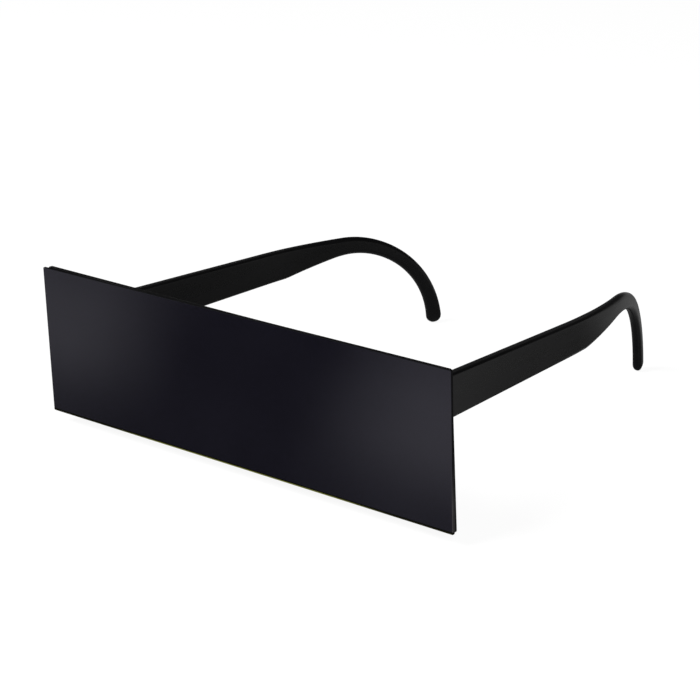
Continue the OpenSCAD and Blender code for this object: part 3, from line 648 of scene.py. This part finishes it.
def sweep_tree():
    """The rule that every temple follows: a rounded section at each station, bent inwards behind the head."""
    tree = bpy.data.node_groups.new("temple_sweep", "GeometryNodeTree")
    sockets = tree.interface
    sockets.new_socket("Geometry", in_out="INPUT", socket_type="NodeSocketGeometry")
    sockets.new_socket("Stations", in_out="INPUT", socket_type="NodeSocketInt")
    sockets.new_socket("Corner Steps", in_out="INPUT", socket_type="NodeSocketInt")
    for name in ("Middle At Panel", "Toe In", "Bend From", "Bend Radius", "Bend End", "Support Gap", "Side"):
        sockets.new_socket(name, in_out="INPUT", socket_type="NodeSocketFloat")
    sockets.new_socket("Material", in_out="INPUT", socket_type="NodeSocketMaterial")
    sockets.new_socket("Geometry", in_out="OUTPUT", socket_type="NodeSocketGeometry")
    given = tree.nodes.new("NodeGroupInput").outputs
    spine, steps, side = given["Geometry"], given["Corner Steps"], given["Side"]

    def math_node(operation, *values):
        return calc(tree, operation, *values)

    per = math_node("ADD", steps, 3)
    ring = math_node("ADD", math_node("MULTIPLY", per, 4), 1)
    grid = add(tree, "GeometryNodeMeshGrid", {"Vertices X": given["Stations"], "Vertices Y": ring})
    index = add(tree, "GeometryNodeInputIndex").outputs[0]
    row = math_node("FLOOR", math_node("DIVIDE", math_node("ADD", index, 0.5), ring))
    k = math_node("SUBTRACT", index, math_node("MULTIPLY", row, ring))
    corner = math_node("FLOOR", math_node("DIVIDE", math_node("ADD", k, 0.5), per))
    step = math_node("SUBTRACT", k, math_node("MULTIPLY", corner, per))
    share = math_node("DIVIDE", math_node("SUBTRACT", step, 1), steps)
    share = math_node("MINIMUM", math_node("MAXIMUM", share, 0), 1)
    angle = math_node("MULTIPLY", math_node("ADD", corner, share), math.pi / 2)
    facing = math_node("MULTIPLY", math_node("ADD", corner, 0.5), math.pi / 2)
    after = math_node("MAXIMUM", math_node("SUBTRACT", step, math_node("ADD", steps, 1)), 0)
    before = math_node("MAXIMUM", math_node("SUBTRACT", 1, step), 0)

    def at_station(name, kind="FLOAT"):
        if name == "position":
            field = add(tree, "GeometryNodeInputPosition").outputs[0]
        else:
            field = add(tree, "GeometryNodeInputNamedAttribute", {"Name": name}, data_type=kind).outputs[0]
        return add(tree, "GeometryNodeSampleIndex", {"Geometry": spine, "Value": field, "Index": row},
                   data_type=kind).outputs[0]

    hh, hw, radius = at_station("half_height"), at_station("half_width"), at_station("edge_radius")
    flat = math_node("SUBTRACT", math_node("MINIMUM", hh, hw), radius)
    reach = math_node("MINIMUM", given["Support Gap"], math_node("MULTIPLY", flat, 0.5))
    reach = math_node("MULTIPLY", reach, math_node("SUBTRACT", after, before))
    cos_a, sin_a = math_node("COSINE", angle), math_node("SINE", angle)
    wide = math_node("MULTIPLY", math_node("SIGN", math_node("COSINE", facing)),
                     math_node("SUBTRACT", hw, radius))
    tall = math_node("MULTIPLY", math_node("SIGN", math_node("SINE", facing)),
                     math_node("SUBTRACT", hh, radius))
    out = math_node("ADD", wide, math_node("SUBTRACT", math_node("MULTIPLY", radius, cos_a),
                                           math_node("MULTIPLY", reach, sin_a)))
    up = math_node("ADD", tall, math_node("ADD", math_node("MULTIPLY", radius, sin_a),
                                          math_node("MULTIPLY", reach, cos_a)))
    rise = add(tree, "ShaderNodeVectorMath", {0: at_station("rise", "FLOAT_VECTOR"), "Scale": up},
               operation="SCALE")
    flat_place = add(tree, "ShaderNodeVectorMath",
                     {0: at_station("position", "FLOAT_VECTOR"), 1: rise.outputs[0]}, operation="ADD")
    y, z = add(tree, "ShaderNodeSeparateXYZ", {0: flat_place.outputs[0]}).outputs[1:3]
    toe, end, bend, radius_b = given["Toe In"], given["Bend End"], given["Bend From"], given["Bend Radius"]
    sin_toe, sin_end = math_node("SINE", toe), math_node("SINE", end)
    lean = math_node("ADD", sin_toe, math_node("DIVIDE", math_node("SUBTRACT", y, bend), radius_b))
    turn = math_node("ARCSINE", math_node("MINIMUM", math_node("MAXIMUM", lean, sin_toe), sin_end))
    arc_end = math_node("ADD", bend, math_node("MULTIPLY", radius_b, math_node("SUBTRACT", sin_end, sin_toe)))
    straight = math_node("MULTIPLY", math_node("MINIMUM", y, bend), math_node("TANGENT", toe))
    curved = math_node("MULTIPLY", radius_b, math_node("SUBTRACT", math_node("COSINE", toe),
                                                       math_node("COSINE", turn)))
    beyond = math_node("MULTIPLY", math_node("MAXIMUM", math_node("SUBTRACT", y, arc_end), 0),
                       math_node("TANGENT", end))
    middle = math_node("SUBTRACT", given["Middle At Panel"], math_node("ADD", straight,
                                                                       math_node("ADD", curved, beyond)))
    x = math_node("ADD", middle, math_node("MULTIPLY", out, math_node("COSINE", turn)))
    y = math_node("ADD", y, math_node("MULTIPLY", out, math_node("SINE", turn)))
    place = add(tree, "ShaderNodeCombineXYZ", {0: math_node("MULTIPLY", x, side), 1: y, 2: z}).outputs[0]
    mapped = add(tree, "GeometryNodeStoreNamedAttribute",
                 {"Geometry": grid.outputs["Mesh"], "Name": "UVMap", "Value": grid.outputs["UV Map"]},
                 data_type="FLOAT2", domain="CORNER")
    moved = add(tree, "GeometryNodeSetPosition", {"Geometry": mapped.outputs[0], "Position": place})
    closed = add(tree, "GeometryNodeMergeByDistance", {"Geometry": moved.outputs[0], "Distance": 0.0005 * MM})
    turned = add(tree, "GeometryNodeFlipFaces", {"Mesh": closed.outputs[0],
                                                 "Selection": math_node("GREATER_THAN", side, 0)})
    coated = add(tree, "GeometryNodeSetMaterial",
                 {"Geometry": turned.outputs[0], "Material": given["Material"]})
    real = add(tree, "GeometryNodeRealizeInstances", {"Geometry": coated.outputs[0]})
    add(tree, "NodeGroupOutput", {"Geometry": real.outputs[0]})
    return tree


temple_black = moulded_black("moulded_temple_black", (0.0013, 0.0013, 0.0015), (0.0023, 0.0023, 0.0027),
                             0.28, 0.46)
stations = temple_stations()
sweep = sweep_tree()
for left, node in ((False, "right_temple"), (True, "left_temple")):
    mesh = bpy.data.meshes.new(node + "_moulding")
    mesh.from_pydata([(0, s[0].x, s[0].y) for s in stations], [], [])
    for name, values in (("half_height", [s[2] for s in stations]), ("half_width", [s[3] for s in stations]),
                         ("edge_radius", [s[4] for s in stations])):
        mesh.attributes.new(name, "FLOAT", "POINT").data.foreach_set("value", values)
    rises = [part for s in stations for part in (0, s[1].x, s[1].y)]
    mesh.attributes.new("rise", "FLOAT_VECTOR", "POINT").data.foreach_set("vector", rises)
    temple = in_scene(node + "_moulding", mesh)
    grow = temple.modifiers.new("sweep", "NODES")
    grow.node_group = sweep
    values = {"Stations": len(stations), "Corner Steps": 8, "Middle At Panel": temple_x, "Toe In": toe_in,
              "Bend From": bend_from, "Bend Radius": bend_r, "Bend End": bend_end, "Support Gap": 0.35 * MM,
              "Side": -1.0 if left else 1.0, "Material": temple_black}
    for item in sweep.interface.items_tree:
        if item.in_out == "INPUT" and item.name in values:
            grow[item.identifier] = values[item.name]
    temple = settle(temple)
    temple = cut_hinge(temple, left, 1)
    smooth(temple)
    temple.data.materials.clear()
    temple.data.materials.append(temple_black)
    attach(temple, "left_arm" if left else "right_arm")
    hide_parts(node)

# The studio
# A large pale floor, two soft lights in front and above, and a dim room with a pale band low behind
# the object. The floor is white to the eye. What the glossy blacks mirror of it is dimmer, with painted light
# and shade.
floor_z = cad_box[0].z - 0.3 * MM
eye_white, eye_share = 1.12, 0.82
bm = bmesh.new()
bmesh.ops.create_grid(bm, x_segments=1, y_segments=1, size=60)
mesh = bpy.data.meshes.new("floor")
bm.to_mesh(mesh)
bm.free()
floor = in_scene("floor", mesh)
floor.location.z = floor_z
floor_white = bpy.data.materials.new("floor_white")
floor_white.use_nodes = True
tree = floor_white.node_tree
tree.nodes.clear()
place = add(tree, "ShaderNodeTexCoord").outputs["Object"]
axes = add(tree, "ShaderNodeSeparateXYZ", {0: place}).outputs
ray = add(tree, "ShaderNodeLightPath").outputs
seen = ray["Is Camera Ray"]
mirrored_ray = calc(tree, "MAXIMUM", ray["Is Glossy Ray"], ray["Is Transmission Ray"])
matt = add(tree, "ShaderNodeBsdfDiffuse", {"Color": (0.8, 0.8, 0.8, 1)}).outputs[0]


def ramp(value, start, end, low, high):
    """A soft rise or fall of brightness along the floor, between two places in mm."""
    return add(tree, "ShaderNodeMapRange", {"Value": value, "From Min": start * MM, "From Max": end * MM,
                                            "To Min": low, "To Max": high},
               interpolation_type="SMOOTHSTEP").outputs[0]


def distance(x, y):
    """How far a place on the floor is from one that is given in mm."""
    off_x, off_y = calc(tree, "SUBTRACT", axes[0], x * MM), calc(tree, "SUBTRACT", axes[1], y * MM)
    return calc(tree, "SQRT", calc(tree, "ADD", calc(tree, "POWER", off_x, 2), calc(tree, "POWER", off_y, 2)))


# The panel mirrors painted light on the floor, a pale patch at each side, which fades into painted shadow
# towards the object
to_left = calc(tree, "SUBTRACT", axes[0], calc(tree, "MULTIPLY", axes[1], 0.82))
to_right = calc(tree, "SUBTRACT", axes[0], calc(tree, "MULTIPLY", axes[1], 0.65))
sides = calc(tree, "ADD", ramp(to_left, -28, -92, 0, 0.43), ramp(to_right, 5, 68, 0, 0.6))
ahead = calc(tree, "MULTIPLY", sides, calc(tree, "MULTIPLY", ramp(axes[1], -5, -62, 0.26, 1),
                                           ramp(axes[1], -80, -114, 1, 0.8)))
# The temples mirror a floor with painted shade between the hooks, and painted light a little paler further
# out and behind
behind = ramp(distance(10, 140), 45, 135, 0, 0.16)
far = calc(tree, "MULTIPLY", ramp(axes[0], 50, 90, 0.17, 0.16), ramp(axes[1], 150, 205, 0, 1))
behind = calc(tree, "MAXIMUM", behind, calc(tree, "MULTIPLY", far, ramp(axes[0], 0, 30, 0, 1)))
# The back of the front mirrors painted light on the floor under the glasses, and the hooks a painted pool of
# light beside them
under = calc(tree, "MULTIPLY", ramp(axes[1], 66, 24, 0, 0.8),
             ramp(calc(tree, "ABSOLUTE", axes[0]), 80, 50, 0, 1))
beside = calc(tree, "MAXIMUM", ramp(distance(73, 135), 24, 6, 0, 0.6), ramp(axes[0], -30, -90, 0, 0.25))
behind = calc(tree, "MAXIMUM", behind, calc(tree, "MAXIMUM", under, beside))
behind = calc(tree, "MULTIPLY", behind, ramp(axes[1], -5, 25, 0, 1))
shade = calc(tree, "ADD", calc(tree, "ADD", ahead, behind), ramp(axes[1], 20, -10, 0.015, 0.078))
strength = calc(tree, "ADD", calc(tree, "MULTIPLY", seen, eye_white),
                calc(tree, "MULTIPLY", mirrored_ray, shade))
white = add(tree, "ShaderNodeEmission", {"Color": (1, 1, 1, 1), "Strength": strength}).outputs[0]
share = calc(tree, "ADD", calc(tree, "MULTIPLY", seen, eye_share), mirrored_ray)
mix = add(tree, "ShaderNodeMixShader", {0: share, 1: matt, 2: white}).outputs[0]
add(tree, "ShaderNodeOutputMaterial", {"Surface": mix})
floor.data.materials.append(floor_white)


def soft_box(name, place, watts, size):
    """A square soft light that looks at the object."""
    light = bpy.data.lights.new(name, "AREA")
    light.energy, light.size = watts, size
    lamp = in_scene(name, light)
    lamp.location = place
    lamp.rotation_euler = (Vector(place) - Vector((0, 0.06, 0))).to_track_quat("Z", "Y").to_euler()


soft_box("soft_box_left", (-0.6, -1.0, 1.3), 30, 0.9)
soft_box("soft_box_right", (1.1, -0.8, 0.9), 14, 0.7)

room_dim, band_bright = 0.035, 0.2
world = bpy.data.worlds.new("room")
world.use_nodes = True
bpy.context.scene.world = world
tree = world.node_tree
tree.nodes.clear()
ray = add(tree, "ShaderNodeLightPath").outputs
seen = calc(tree, "MAXIMUM", ray["Is Camera Ray"], ray["Is Transmission Ray"])
toward = add(tree, "ShaderNodeTexCoord").outputs["Generated"]
toward = add(tree, "ShaderNodeSeparateXYZ", {0: toward}).outputs
low_band = spread(tree, toward[2], band_bright, 0, 0.05, 0.2)
low_band = calc(tree, "MULTIPLY", low_band, spread(tree, toward[1], 0, 1, 0.1, 0.5))
strength = calc(tree, "MAXIMUM", seen, calc(tree, "ADD", room_dim, low_band))
room = add(tree, "ShaderNodeBackground", {"Color": (1, 1, 1, 1), "Strength": strength}).outputs[0]
add(tree, "ShaderNodeOutputWorld", {"Surface": room})

# The camera
# It stands at the photograph's angle, which was worked out from the panel's corners and the temples.
azimuth, elevation, roll = math.radians(40.907), math.radians(19.37), math.radians(-1.668)
target, camera_far = Vector((45.203, 0, 22.357)) * MM, 570.84 * MM
focal_px, picture_px, film_mm = 2080, 700, 36
back = Vector((math.sin(azimuth) * math.cos(elevation), -math.cos(azimuth) * math.cos(elevation),
               math.sin(elevation)))
level = Vector((math.cos(azimuth), math.sin(azimuth), 0))
rise = back.cross(level)
right = level * math.cos(roll) + rise * math.sin(roll)
upright = rise * math.cos(roll) - level * math.sin(roll)
lens = bpy.data.cameras.new("camera")
lens.sensor_width = film_mm
lens.lens = focal_px * film_mm / picture_px
camera = in_scene("camera", lens)
camera.matrix_world = Matrix.Translation(target + back * camera_far) @ Matrix(
    (right, upright, back)).transposed().to_4x4()
bpy.context.scene.camera = camera
bpy.context.scene.view_settings.view_transform = "Standard"
